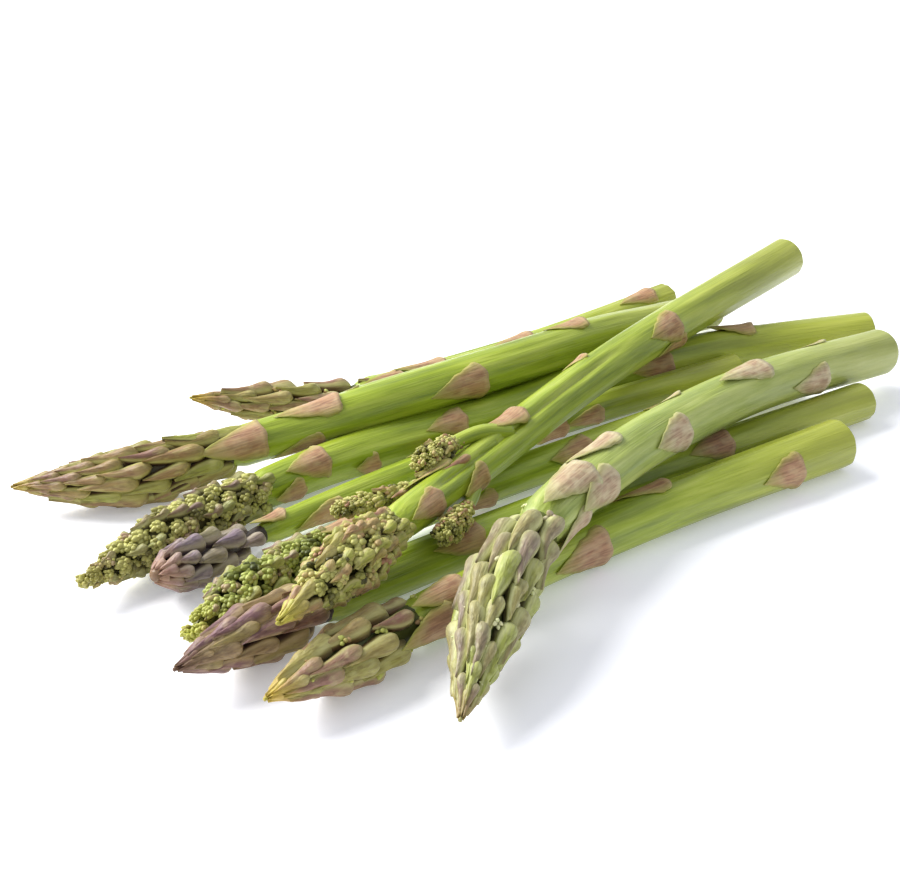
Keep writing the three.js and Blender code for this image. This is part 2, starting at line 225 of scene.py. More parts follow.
def stem_radius(spear, along):
    start = spear["head"] + HEAD_GAP
    end = spear["length"]
    share = np.clip((along - start) / (end - start), 0, 1)
    fuller = spear.get("fuller", 0) * ease((along - start - FULLER_FROM_END) / FULLER_EASE)
    fuller = fuller * ease((end - FULLER_EASE - along) / FULLER_EASE)
    return spear["neck"] + (spear["butt"] - spear["neck"]) * share**0.6 + fuller


def core_radius(spear, along):
    share = np.clip(along / spear["head"], 0, 1)
    power = 0.72 if spear["kind"] == "blunt" else 1.24
    swelling = np.sin(np.minimum(share / spear["widest"], 1) * np.pi / 2) ** power
    rising = TIP_RADIUS + (spear["radius"] - TIP_RADIUS) * swelling
    fall = ease((share - spear["widest"]) / (1 - spear["widest"]))
    falling = spear["radius"] + (spear["neck"] - CORE_UNDER_NECK - spear["radius"]) * fall
    return np.where(share < spear["widest"], rising, falling)


for spear in SPEARS:
    print(spear["name"], "is", round(2 * float(stem_radius(spear, spear["length"])), 1), "mm across its butt")

# %% [markdown]
# Shapes are kept as patches: points, faces, and two notes on every point that the materials read. The note
# "straight" is the point's place on the straight spear, in millimetres, so that a pattern runs along the
# spear whichever way it lies. The note "blade" says how far the point is from foot to point of its leaf or
# bract, how near its edge, and a random number that is the same all over one leaf, bract or bud.

# %% Patches, and turning them into an object


def grid_faces(rows, columns, ring):
    """Quads of a grid of points, closed into a ring along its columns if ring is true."""
    r = np.arange(rows - 1)[:, None]
    c = np.arange(columns if ring else columns - 1)[None, :]
    n = (c + 1) % columns
    quads = np.stack([r * columns + c, r * columns + n, (r + 1) * columns + n, (r + 1) * columns + c], -1)
    return quads.reshape(-1, 4)


def patch(points, faces, blade):
    return {"points": points.reshape(-1, 3), "faces": faces, "blade": blade.reshape(-1, 3)}


def object_from(name, patches, line, material, replaced):
    """Joins the patches of one piece, bends them on to the spear and gives the piece its material."""
    points = np.vstack([p["points"] for p in patches])
    blade = np.vstack([p["blade"] for p in patches])
    starts = np.cumsum([0] + [len(p["points"]) for p in patches[:-1]])
    faces = [(f + s).tolist() for p, s in zip(patches, starts) for f in p["faces"]]
    faces = [face for group in faces for face in group]
    mesh = bpy.data.meshes.new(name)
    mesh.from_pydata(bend(line, points).tolist(), [], faces)
    for label, values in (("straight", points), ("blade", blade)):
        note = mesh.attributes.new(label, "FLOAT_VECTOR", "POINT")
        note.data.foreach_set("vector", values.astype(np.float32).ravel())
    mesh.polygons.foreach_set("use_smooth", [True] * len(mesh.polygons))
    mesh.materials.append(material)
    mesh.update()
    piece = bpy.data.objects.new(name, mesh)
    bpy.context.scene.collection.objects.link(piece)
    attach(piece, "root")
    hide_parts(replaced)
    print(name, "has", len(mesh.polygons), "faces")


print("a grid of 3 by 4 points has", len(grid_faces(3, 4, False)), "faces, and", len(grid_faces(3, 4, True)),
      "when it is closed into a ring")

# %% [markdown]
# Materials. All of them are plant tissue: moist, slightly waxy, with an index of refraction near 1.4 and a
# little light passing through. What differs is colour, and how it changes along and across each piece. The
# colour of a stem comes from stretched noise: streaks from half a millimetre wide and about a centimetre
# long, as the strands under a real skin give. In a ramp that is used as a weight, black is none and white
# is all, and the greys between are turned linear like every other colour.

# %% One function adds a node
PLANT_IOR = 1.4
CUTICLE_ROUGHNESS = 0.3
GLOW_REACH = (1.0, 0.9, 0.3)  # red and green light travel further in green flesh than blue does
GLOW_DEPTH = 0.8 * MM


def add(tree, kind, settings=None, stops=(), **inputs):
    """Adds a node, with its settings, and sets or links its inputs by name: a node, a socket or a value."""
    node = tree.nodes.new("ShaderNode" + kind)
    for key, value in (settings or {}).items():
        setattr(node, key, value)
    for number, (place, colour) in enumerate(stops):
        elements = node.color_ramp.elements
        element = elements[number] if number < len(elements) else elements.new(1.0)
        element.position = place
        element.color = linear(colour)
    for key, value in inputs.items():
        socket = next(s for s in node.inputs if s.name == key.replace("_", " ") and not s.is_unavailable)
        if hasattr(value, "outputs"):
            value = next(s for s in value.outputs if not s.is_unavailable)
        if isinstance(value, bpy.types.NodeSocket):
            tree.links.new(value, socket)
        else:
            socket.default_value = linear(value) if isinstance(value, str) else value
    return node


def plant_material(name, roughness, coat, glow):
    """A new material with its shader, and the notes that the pieces carry."""
    material = bpy.data.materials.new(name)
    material.use_nodes = True
    tree = material.node_tree
    shader = tree.nodes["Principled BSDF"]
    shader.inputs["Roughness"].default_value = roughness
    shader.inputs["IOR"].default_value = PLANT_IOR
    shader.inputs["Coat Weight"].default_value = coat
    shader.inputs["Coat Roughness"].default_value = CUTICLE_ROUGHNESS
    shader.inputs["Subsurface Weight"].default_value = glow
    shader.inputs["Subsurface Radius"].default_value = GLOW_REACH
    shader.inputs["Subsurface Scale"].default_value = GLOW_DEPTH
    straight = add(tree, "Attribute", dict(attribute_name="straight")).outputs["Vector"]
    blade = add(tree, "Attribute", dict(attribute_name="blade")).outputs["Vector"]
    return material, tree, shader, straight, add(tree, "SeparateXYZ", Vector=blade).outputs


def grain(tree, straight, across, along, detail=3.0):
    """A pattern whose grains are across mm wide and along mm long on the straight spear."""
    stretched = add(tree, "Mapping", Vector=straight, Scale=(1 / across, 1 / across, 1 / along))
    return add(tree, "TexNoise", Vector=stretched, Scale=1.0, Detail=detail)


print("every pattern is made with", add.__name__, "and", grain.__name__)

# %% [markdown]
# The stem's skin: a cuticle over green flesh. It is a touch yellower at the butt, with pale streaks and
# darker veins. The fine ribs under the skin are less than half a millimetre apart. The waxy spear in front
# wears more of the whitish bloom that rubs off with handling, so it is paler and less glossy. The thin
# cuticle is the shader's coat: it gives the soft, wide highlight along the top of a stem.

# %% Skin of the stems


def stem_skin(name, deep, fresh, pale, butt, bloom, roughness):
    material, tree, shader, straight, parts = plant_material(name, roughness, 0.35, 0.1)
    mix = dict(data_type="RGBA")
    green = add(tree, "ValToRGB", stops=[(0.3, deep), (0.52, fresh), (0.78, pale)],
                Fac=grain(tree, straight, 2.4, 26.0))
    streaks = add(tree, "ValToRGB", stops=[(0.45, "#000000"), (0.7, "#8a8a8a")],
                  Fac=grain(tree, straight, 0.5, 11.0))
    streaked = add(tree, "Mix", mix, Factor=streaks, A=green, B=pale)
    veins = add(tree, "ValToRGB", stops=[(0.3, "#6a6a6a"), (0.45, "#000000")],
                Fac=grain(tree, straight, 0.8, 16.0))
    veined = add(tree, "Mix", mix, Factor=veins, A=streaked, B=deep)
    aged = add(tree, "Mix", mix, Factor=parts["X"], A=veined, B=butt)
    cover = add(tree, "ValToRGB", stops=[(0.35, "#000000"), (0.75, bloom)],
                Fac=grain(tree, straight, 2.5, 7.0, 6.0))
    bloomed = add(tree, "Mix", mix, Factor=cover, A=aged, B="#c6cba4")
    marks = add(tree, "ValToRGB", stops=[(0.66, "#000000"), (0.74, "#707070")],
                Fac=grain(tree, straight, 1.3, 2.2, 2.0))
    marked = add(tree, "Mix", mix, Factor=marks, A=bloomed, B="#8d8a52")
    tree.links.new(marked.outputs["Result"], shader.inputs["Base Color"])
    bump = add(tree, "Bump", Distance=0.16 * MM, Height=grain(tree, straight, 0.4, 12.0, 2.0))
    tree.links.new(bump.outputs["Normal"], shader.inputs["Normal"])
    return material


skin_of = {
    "green": stem_skin("fresh asparagus skin", "#6c7f14", "#93a523", "#bac555", "#a7a640", "#242424", 0.34),
    "waxy": stem_skin("waxy asparagus skin", "#7b8c34", "#9ba94b", "#bfc775", "#a3a64e", "#5c5c5c", 0.46),
}
print("skins:", ", ".join(skin_of))

# %% [markdown]
# A scale leaf is a thin papery triangle. It is tan to mauve-brown, with drier cream patches. Its veins run
# from foot to point. Its thin edges and its point let the green of the stem through, and its foot, where it
# has dried first, is paler.

# %% Scale leaves


def papery(name, middle, dark, margin, foot):
    material, tree, shader, straight, parts = plant_material(name, 0.6, 0.0, 0.1)
    mix = dict(data_type="RGBA")
    veins = grain(tree, straight, 0.4, 7.0)
    veined = add(tree, "ValToRGB", stops=[(0.35, dark), (0.6, middle)], Fac=veins)
    patches = add(tree, "ValToRGB", stops=[(0.42, "#000000"), (0.62, "#a0a0a0")],
                  Fac=grain(tree, straight, 1.8, 3.0))
    patched = add(tree, "Mix", mix, Factor=patches, A=veined, B=margin)
    edge = add(tree, "ValToRGB", stops=[(0.55, "#000000"), (1.0, "#c8c8c8")], Fac=parts["Y"])
    edged = add(tree, "Mix", mix, Factor=edge, A=patched, B=foot)
    greening = add(tree, "ValToRGB", stops=[(0.45, "#000000"), (1.0, "#c8c8c8")], Fac=parts["X"])
    greened = add(tree, "Mix", mix, Factor=greening, A=edged, B=foot)
    root = add(tree, "ValToRGB", stops=[(0.0, "#b0b0b0"), (0.1, "#000000")], Fac=parts["X"])
    rooted = add(tree, "Mix", mix, Factor=root, A=greened, B=margin)
    tree.links.new(rooted.outputs["Result"], shader.inputs["Base Color"])
    bump = add(tree, "Bump", Distance=0.15 * MM, Height=veins)
    tree.links.new(bump.outputs["Normal"], shader.inputs["Normal"])
    return material


leaf_of = {
    "green": papery("papery scale leaf, tan", "#b08866", "#8e6a50", "#c6b286", "#8c9c2c"),
    "waxy": papery("papery scale leaf, cream", "#b59c7c", "#957a5e", "#d6d2a8", "#9aa656"),
}
print("scale leaves:", ", ".join(leaf_of))

# %% [markdown]
# A bract is a fleshy little hood. Its back is mauve, brown or olive, each hood by its own random number,
# with darker streaks. Its sides are more olive, then comes a pale band, and the outermost rim is painted
# dark: painted shade for the deep slit between two hoods. So light bands and painted dark slits draw the
# pattern of the head. The swollen foot is paler. Towards the spear's tip the tint turns to ochre, yellow or
# purple. Buds are greener, and painted darker at their feet: painted shade where they shade each other.

# %% Bracts and buds


# The last dark colour is used both for the streaks and as painted shade in the slits between hoods.
def hooded(name, mauve, brown, olive, rim, streak_and_slit_shade, tip):
    material, tree, shader, straight, parts = plant_material(name, 0.5, 0.08, 0.08)
    mix = dict(data_type="RGBA")
    own = add(tree, "ValToRGB", stops=[(0.1, mauve), (0.5, brown), (0.9, olive)], Fac=parts["Z"])
    streaks = add(tree, "ValToRGB", stops=[(0.36, "#b0b0b0"), (0.56, "#000000")],
                  Fac=grain(tree, straight, 0.5, 4.0))
    streaked = add(tree, "Mix", mix, Factor=streaks, A=own, B=streak_and_slit_shade)
    side = add(tree, "ValToRGB", stops=[(0.3, "#000000"), (0.7, "#c8c8c8")], Fac=parts["Y"])
    sided = add(tree, "Mix", mix, Factor=side, A=streaked, B=olive)
    edge = add(tree, "ValToRGB", Fac=parts["Y"],
               stops=[(0.42, "#000000"), (0.6, "#c0c0c0"), (0.7, "#c0c0c0"), (0.8, "#000000")])
    edged = add(tree, "Mix", mix, Factor=edge, A=sided, B=rim)
    mottle = add(tree, "ValToRGB", stops=[(0.5, "#000000"), (0.68, "#909090")],
                 Fac=grain(tree, straight, 1.1, 2.6))
    mottled = add(tree, "Mix", mix, Factor=mottle, A=edged, B=rim)
    # painted shade: the outermost rim of each hood lies deep in the slit between hoods, so it is painted in
    # the dark shade colour
    painted_slit_shade = add(tree, "ValToRGB", stops=[(0.7, "#000000"), (0.88, "#f8f8f8")], Fac=parts["Y"])
    parted = add(tree, "Mix", mix, Factor=painted_slit_shade, A=mottled, B=streak_and_slit_shade)
    knuckle = add(tree, "ValToRGB", stops=[(0.05, "#9c9c9c"), (0.4, "#000000")], Fac=parts["X"])
    knuckled = add(tree, "Mix", mix, Factor=knuckle, A=parted, B=rim)
    along = add(tree, "SeparateXYZ", Vector=straight).outputs["Z"]
    near = add(tree, "MapRange", dict(interpolation_type="SMOOTHSTEP"), Value=along,
               From_Min=1.0, From_Max=8.0, To_Min=0.75, To_Max=0.0)
    tipped = add(tree, "Mix", mix, Factor=near, A=knuckled, B=tip)
    tree.links.new(tipped.outputs["Result"], shader.inputs["Base Color"])
    bump = add(tree, "Bump", Distance=0.2 * MM, Height=grain(tree, straight, 0.4, 3.0, 2.0))
    tree.links.new(bump.outputs["Normal"], shader.inputs["Normal"])
    return material


def budded(name, bright, middle, dark, blush, tip):
    material, tree, shader, straight, parts = plant_material(name, 0.5, 0.08, 0.1)
    mix = dict(data_type="RGBA")
    own = add(tree, "ValToRGB", Fac=parts["Z"],
              stops=[(0.0, dark), (0.35, middle), (0.75, bright), (1.0, blush)])
    speckle = grain(tree, straight, 0.7, 0.7, 4.0)
    lit = add(tree, "ValToRGB", stops=[(0.45, "#000000"), (0.7, "#808080")], Fac=speckle)
    patched = add(tree, "Mix", mix, Factor=lit, A=own, B=bright)
    # painted shade: each bud is painted darker towards its foot, where the buds shade each other
    foot = add(tree, "ValToRGB", stops=[(0.15, "#f0f0f0"), (0.65, "#000000")], Fac=parts["X"])
    foot_shaded = add(tree, "Mix", mix, Factor=foot, A=patched, B=dark)
    along = add(tree, "SeparateXYZ", Vector=straight).outputs["Z"]
    near = add(tree, "MapRange", dict(interpolation_type="SMOOTHSTEP"), Value=along,
               From_Min=1.0, From_Max=12.0, To_Min=0.6, To_Max=0.0)
    tipped = add(tree, "Mix", mix, Factor=near, A=foot_shaded, B=tip)
    tree.links.new(tipped.outputs["Result"], shader.inputs["Base Color"])
    bump = add(tree, "Bump", Distance=0.15 * MM, Height=speckle)
    tree.links.new(bump.outputs["Normal"], shader.inputs["Normal"])
    return material


# The fifth colour of each tint darkens the streaks, and it is also the painted shade in the slits between
# hoods.
bract_of = {
    "cream": hooded("bracts, cream and mauve",
                    "#84725f", "#958c54", "#98a048", "#d4d49a", "#494224", "#8a7040"),
    "olive": hooded("bracts, olive brown",
                    "#8f6b5a", "#9a7c54", "#948f48", "#c8c486", "#5a4227", "#c0a43a"),
    "sandy": hooded("bracts, sandy pink",
                    "#9c7058", "#9c844e", "#999c42", "#c6b97c", "#46351a", "#b9ac3e"),
    "purple": hooded("bracts, purple brown",
                    "#83604f", "#8d7144", "#8d903a", "#bdb870", "#4a2f22", "#a48735"),
    "dusky": hooded("bracts, dusky purple",
                    "#7a5a5c", "#886656", "#8f804e", "#c6b088", "#452b27", "#5d3c30"),
    "slate": hooded("bracts, slate purple",
                    "#7c6c76", "#84706c", "#847e56", "#bbae9c", "#43333a", "#9a7058"),
    "leafy": hooded("bracts, leafy mauve",
                    "#8d7064", "#8f7a50", "#949c42", "#bfc27c", "#43401d", "#a4a03a"),
    "mossy": hooded("bracts, mossy brown",
                    "#80665c", "#85704c", "#848844", "#aca873", "#3f381f", "#8f883c"),
}
bud_of = {
    "cream": budded("buds, cream green", "#dcdea6", "#aab46a", "#48511f", "#b9a88c", "#8b7748"),
    "olive": budded("buds, olive", "#bcc062", "#8b9240", "#3a4016", "#9c7c56", "#b8a23c"),
    "sandy": budded("buds, sandy green", "#bdba6c", "#929045", "#3a3714", "#a67a5e", "#b0a638"),
    "purple": budded("buds, olive purple", "#a4a54a", "#767032", "#35290f", "#856052", "#96792f"),
    "dusky": budded("buds, dusky purple", "#948a4c", "#685536", "#2c1d16", "#77544e", "#5d3c30"),
    "slate": budded("buds, slate", "#8f8c54", "#645c40", "#302826", "#7c6870", "#866048"),
    "leafy": budded("buds, leafy green", "#aab259", "#828a3e", "#383e15", "#a08a68", "#a8a43a"),
    "mossy": budded("buds, mossy green", "#bab868", "#989450", "#524d26", "#a2886e", "#948c3c"),
}
print(len(bract_of), "tints of bracts and buds")

# %% [markdown]
# The cut end shows pale flesh, with the darker dots of the strands that ran up the stem. The cut is a few
# days old, so it is a little dry and rough, and browner at the rim.

# %% Cut end


def cut_flesh(name):
    material, tree, shader, straight, parts = plant_material(name, 0.65, 0.0, 0.1)
    mix = dict(data_type="RGBA")
    strands = add(tree, "TexVoronoi", Vector=straight, Scale=1.1, Randomness=0.9)
    dots = add(tree, "ValToRGB", stops=[(0.1, "#8f9a4e"), (0.34, "#cdd096")], Fac=strands.outputs["Distance"])
    fibres = grain(tree, straight, 0.3, 0.3)
    dry = add(tree, "ValToRGB", stops=[(0.4, "#000000"), (0.8, "#6a6a6a")], Fac=fibres)
    dried = add(tree, "Mix", mix, Factor=dry, A=dots, B="#b0a96c")
    edge = add(tree, "ValToRGB", stops=[(0.7, "#000000"), (0.98, "#c0c0c0")], Fac=parts["Y"])
    edged = add(tree, "Mix", mix, Factor=edge, A=dried, B="#8f9048")
    tree.links.new(edged.outputs["Result"], shader.inputs["Base Color"])
    bump = add(tree, "Bump", Distance=0.25 * MM, Height=fibres)
    tree.links.new(bump.outputs["Normal"], shader.inputs["Normal"])
    return material


flesh = cut_flesh("cut asparagus flesh")
print("the cut ends are of", flesh.name)

# %% [markdown]
# The stems. A stem is a ring of points carried along the spear. It swells a little where a scale leaf
# grows, soft ridges run down from the leaves, and its worn rim rounds into the cut face. At the other end
# it runs on into the head and draws in there, so that no open end shows between the bracts. The spear on
# top has one deep crease, where a side shoot has pressed against it. The cut face is a piece of its own.

# %% Make the stems
RING = 60
INTO_HEAD = 5
WORN_RIM = 0.6
UNDER_SOLID = 0.15  # the skin starts this much under the solid's, and its swellings take it back up


def stem_patch(spear, seed):
    rng = np.random.default_rng(seed)
    start = spear["head"] - INTO_HEAD
    end = spear["length"]
    rim_rows = end - WORN_RIM * np.cos(np.linspace(0, np.pi / 2, 5))
    along = np.concatenate([np.arange(start, end - 0.8, 1.0), rim_rows])
    round_angle = np.linspace(0, 2 * np.pi, RING, endpoint=False)
    z, a = np.meshgrid(along, round_angle, indexing="ij")
    r = stem_radius(spear, z) - 0.5 * ease((spear["head"] + 0.5 - z) / 1.5)
    r -= 1.7 * ease((spear["head"] - 1.5 - z) / 3.5)
    phase = rng.uniform(0, 6, 4)
    r = r * (1 + 0.012 * np.sin(2 * a + phase[0] + z / 45) + 0.008 * np.sin(3 * a + phase[1] - z / 30))
    r += 0.06 * np.sin(11 * a + phase[2]) * np.sin(a + phase[3]) - UNDER_SOLID
    for foot, turn, length, width, lift in spear["scales"]:
        facing = np.abs(np.angle(np.exp(1j * (a - math.radians(turn)))))
        r += 0.4 * np.exp(-(((z - foot + 0.5) / 2.5) ** 2)) * np.exp(-((facing / 0.8) ** 2))
        ridge = np.exp(-(((facing - 0.62) / 0.16) ** 2)) * ease((z - foot) / 4) * ease((foot + 45 - z) / 40)
        r += 0.22 * ridge
    for turn, first, last, depth in spear.get("creases", []):
        facing = np.abs(np.angle(np.exp(1j * (a - math.radians(turn)))))
        r -= depth * np.exp(-((facing / 0.17) ** 2)) * ease((z - first) / 8) * ease((last - z) / 25)
    worn = np.clip((z - (end - WORN_RIM)) / WORN_RIM, 0, 1)
    r -= WORN_RIM * (1 - np.sqrt(1 - worn**2 * 0.999))
    points = np.stack([r * np.cos(a), r * np.sin(a), z], -1)
    age = ease((z - 0.55 * end) / (0.5 * end)) * 0.6
    blade = np.stack([age, np.zeros_like(a), np.full_like(a, rng.random())], -1)
    return patch(points, [grid_faces(len(along), RING, True)], blade)


def cut_patch(spear, seed):
    rng = np.random.default_rng(seed)
    rings = 12
    share = np.linspace(1, 0.02, rings)
    s, a = np.meshgrid(share, np.linspace(0, 2 * np.pi, RING, endpoint=False), indexing="ij")
    r = (stem_radius(spear, spear["length"]) - 0.62) * s
    dish = 0.25 * (s**2 - 1) + 0.05 * np.sin(9 * a + 4 * s) * s * (1 - s)
    dish = dish + rng.uniform(-0.03, 0.03, s.shape)
    z = spear["length"] + dish * (s < 0.99)
    points = np.stack([r * np.cos(a), r * np.sin(a), z], -1)
    blade = np.stack([s * 0, s, s * 0], -1)
    middle = np.arange((rings - 1) * RING, rings * RING)[None, :]
    return patch(points, [grid_faces(rings, RING, True), middle], blade)


for number, spear in enumerate(SPEARS):
    name = spear["name"]
    object_from(name + "_skin", [stem_patch(spear, 10 + number)], spear["path"], skin_of[spear["skin"]],
                name + "_stem")
    object_from(name + "_cut_end", [cut_patch(spear, 30 + number)], spear["path"], flesh,
                name + "_stem")

# %% [markdown]
# A leaf blade or a hood is a grid of points on a round body: rows from its foot to its point, columns from
# edge to edge. The upper grid bulges, the lower one lies under it by the blade's thickness, and a wall
# closes the rim. Scale leaves are flat with a straight foot. Hoods have a rounded, swollen foot and a long
# point, like half a teardrop. Near the tip of the spear every blade lies flatter, or the tip would bristle.

# %% Blades
BLADE_ROWS = 17
BLADE_COLUMNS = 13


def blade_patch(body, foot, turn, length, outline_of, half_width, rise, shade, rng,
                drop=0.0, knuckle=0.2, lip=0.0, lift=0.0, thickness=0.45, bow=0.0, ragged=0.0):
    """outline_of(v) is the outline, foot (0) to point (1). body(along) is the radius that it lies on."""
    rows, columns = BLADE_ROWS, BLADE_COLUMNS
    v, u = np.meshgrid(np.linspace(0, 1, rows), np.linspace(-1, 1, columns), indexing="ij")
    lean, skew, wave = rng.uniform(-0.16, 0.16), rng.uniform(-0.12, 0.12), rng.uniform(0, 6, 3)
    outline = np.maximum(outline_of(v), 0.02)
    uneven = 1 + ragged * (0.6 * np.sin(17 * v + wave[0]) + 0.4 * np.sin(31 * v + wave[1])) * np.abs(u)
    along = foot - length * v + bow * (1 - u * u) * (1 - v)
    along = along + ragged * 3 * np.sin(7 * u + wave[2]) * (1 - v) ** 3
    under = body(along)
    spread = np.minimum(half_width * outline * uneven / (under + 0.5 * rise), 1.5)
    angle = turn + lean * v + skew * np.sin(np.pi * v) - u * spread
    bulge = (1 - knuckle) + knuckle * np.exp(-(((v - 0.22) / 0.2) ** 2))
    dome = 1 - np.abs(u) ** 2.2
    keel = 0.16 * np.exp(-((u / 0.2) ** 2)) * np.sin(np.pi * v)
    foot_end = np.clip(v / 0.2, 0, 1)
    end = np.sqrt(foot_end * (2 - foot_end)) if drop else outline**0.5
    height = 0.06 - drop + (rise * bulge + drop) * end * dome + keel + lift * v**1.6 + lip * (1 - v) ** 6
    height = height * (0.25 + 0.75 * ease((along - 0.5) / 7))
    thick = thickness * (1 - 0.5 * np.abs(u) ** 3) + np.maximum(height + 0.3, 0) * (1 - v) ** 6
    layers = []
    for level in (height, height - thick):
        r = np.maximum(under + level, 0.05)
        layers.append(np.stack([r * np.cos(angle), r * np.sin(angle), along], -1).reshape(-1, 3))
    note = np.stack([v, np.abs(u), np.full_like(v, shade)], -1).reshape(-1, 3)
    n = rows * columns
    top = grid_faces(rows, columns, False)
    rim_loop = np.concatenate([
        np.arange(columns),
        np.arange(2, rows) * columns - 1,
        np.arange(n - 1, n - columns - 1, -1),
        np.arange(rows - 2, 0, -1) * columns,
    ])
    after = np.roll(rim_loop, -1)
    wall = np.stack([rim_loop, rim_loop + n, after + n, after], -1)
    return patch(np.vstack(layers), [top, top[:, ::-1] + n, wall], np.vstack([note, note]))


def leaf_outline(v):
    t = np.clip((v - 0.08) / 0.92, 0, 1)
    return np.where(v < 0.08, 0.88 + 1.5 * v, 1 - t**1.2)


def hood_outline(v):
    rising = np.sqrt(np.maximum(1 - (1 - v / 0.25) ** 2, 0))
    falling = 1 - np.clip((v - 0.25) / 0.75, 0, 1) ** 1.5
    return np.where(v < 0.25, rising, falling)


for number, spear in enumerate(SPEARS):
    rng = np.random.default_rng(50 + number)
    leaves = []
    for foot, turn, length, width, lift in spear["scales"]:
        leaves.append(blade_patch(
            lambda along: stem_radius(spear, along), foot, math.radians(turn), length, leaf_outline,
            width * 0.56, rise=0.3, shade=rng.random(), rng=rng, lip=0.55, lift=0.05 + lift,
            thickness=0.22, bow=0.9, ragged=0.07,
        ))
    object_from(spear["name"] + "_scale_leaves", leaves, spear["path"], leaf_of[spear["skin"]],
                spear["name"] + "_stem")

# %% [markdown]
# Buds are small pointed beads. A spray is a short catkin of them, which is what a side shoot inside the
# head looks like before it opens. One bead is turned once on a lathe as a template, and each copy is
# stretched, turned and set on its spray.

# %% Beads and sprays
BEAD_SIDES = 6
BEAD_RINGS = 6


def bead_template():
    t = np.linspace(0, np.pi, BEAD_RINGS)
    profile = np.sin(t) * (1 - 0.22 * np.cos(t + np.pi))
    a = np.linspace(0, 2 * np.pi, BEAD_SIDES, endpoint=False)
    r, angle = np.meshgrid(np.maximum(profile, 0.04), a, indexing="ij")
    z = np.repeat(-np.cos(t)[:, None], BEAD_SIDES, axis=1)
    points = np.stack([r * np.cos(angle), r * np.sin(angle), z], -1).reshape(-1, 3)
    last = BEAD_RINGS * BEAD_SIDES
    caps = [np.arange(BEAD_SIDES)[None, ::-1], np.arange(last - BEAD_SIDES, last)[None, :]]
    return points, [grid_faces(BEAD_RINGS, BEAD_SIDES, True)] + caps


BEAD_POINTS, BEAD_FACES = bead_template()
print("a bead has", len(BEAD_POINTS), "points")


def bead(centre, pointing, radius, stretch, shade):
    pointing = unit(np.array(pointing, float))
    side = unit(np.cross(pointing, [0.31, 0.52, 0.8]))
    third = np.cross(pointing, side)
    shaped = BEAD_POINTS * [radius, radius, radius * stretch]
    points = shaped[:, :1] * side + shaped[:, 1:2] * third + shaped[:, 2:] * pointing + centre
    # far runs from a bead's foot (0) to its point (1); the bud material paints shade at the foot
    far = (BEAD_POINTS[:, 2] + 1) / 2
    note = np.stack([far, far * 0, np.full_like(far, shade)], -1)
    return patch(points, BEAD_FACES, note)


def fist(centre, out, ahead, radius, beads, size, shade, rng):
    """A tight cluster of beads round one point: they cover its outer half."""
    out, ahead = unit(np.array(out, float)), np.array(ahead, float)
    side = np.cross(out, ahead)
    start = rng.uniform(0, 6)
    made = []
    for i in range(beads):
        rise = 1 - 1.15 * (i + 0.4) / beads
        flat = math.sqrt(max(1 - rise * rise, 0))
        turn = start + i * GOLDEN_TURN
        aim = out * rise + (side * math.cos(turn) + ahead * math.sin(turn)) * flat
        own = min(max(shade + rng.uniform(-0.22, 0.22), 0), 1)
        made.append(bead(centre + aim * radius, aim + ahead * 0.9, size * rng.uniform(0.7, 1.1),
                         rng.uniform(1.15, 1.9), own))
    return made


def spiral_places(radius_at, start, end, spacing_at):
    """Distances from the tip for a spiral of pieces that stand evenly, spacing_at(z) apart."""
    z = np.linspace(start, end, 400)
    count = np.cumsum(2 * np.pi * np.maximum(radius_at(z), 0.6) / spacing_at(z) ** 2) * (z[1] - z[0])
    return np.interp(np.arange(int(count[-1])) + 0.5, count, z)


# %% [markdown]
# The closed heads. Bracts climb a head in a spiral with the golden angle between neighbours, as they do on
# the plant, and grow larger from the tip down to the neck. Tight heads have long flat hoods over each
# other. Loose ones have swollen feet and leave dark slits, in which a few buds show. Under the hoods lies a
# core, a plain spindle that is smaller than the head, and it closes what the slits leave open. The core is
# painted dark all over but at the tip: painted shade in the gaps between hoods and buds.

# %% Hoods of a closed head
CORE_SIDES = 24


def core_patch(spear, shrink):
    along = np.concatenate([np.linspace(0.4, 4, 12), np.linspace(4.6, spear["head"] + 0.5, 28)])
    z, a = np.meshgrid(along, np.linspace(0, 2 * np.pi, CORE_SIDES, endpoint=False), indexing="ij")
    towards_neck = ease((z - spear["head"] + 8) / 6)
    shrunk = (shrink + spear.get("sunk", 0)) * ease(z / 5) * (1 - 0.6 * towards_neck)
    r = np.maximum(core_radius(spear, z) - shrunk, 0.2)
    points = np.stack([r * np.cos(a), r * np.sin(a), z], -1)
    # painted shade: the core is marked as a foot all over but its tip, so the bud material paints it dark, as
    # shade deep between the hoods and buds
    note = np.stack([1 - ease(z / 4), z * 0, z * 0 + 0.3], -1)
    end = np.arange(CORE_SIDES)[None, ::-1]
    return patch(points, [grid_faces(len(along), CORE_SIDES, True), end], note)


HOOD = {
    "loose": dict(rise=1.9, drop=1.3, knuckle=0.5, lift=0.7, spacing=5.7, length=13.5, width=5.8,
                  sink=0.7, shrink=2.1),
    "tight": dict(rise=1.6, drop=1.2, knuckle=0.5, lift=0.8, spacing=5.3, length=12.0, width=5.4,
                  sink=0.4, shrink=1.6),
    "blunt": dict(rise=1.8, drop=1.3, knuckle=0.5, lift=0.4, spacing=4.9, length=8.5, width=5.8,
                  sink=0.6, shrink=1.8),
}


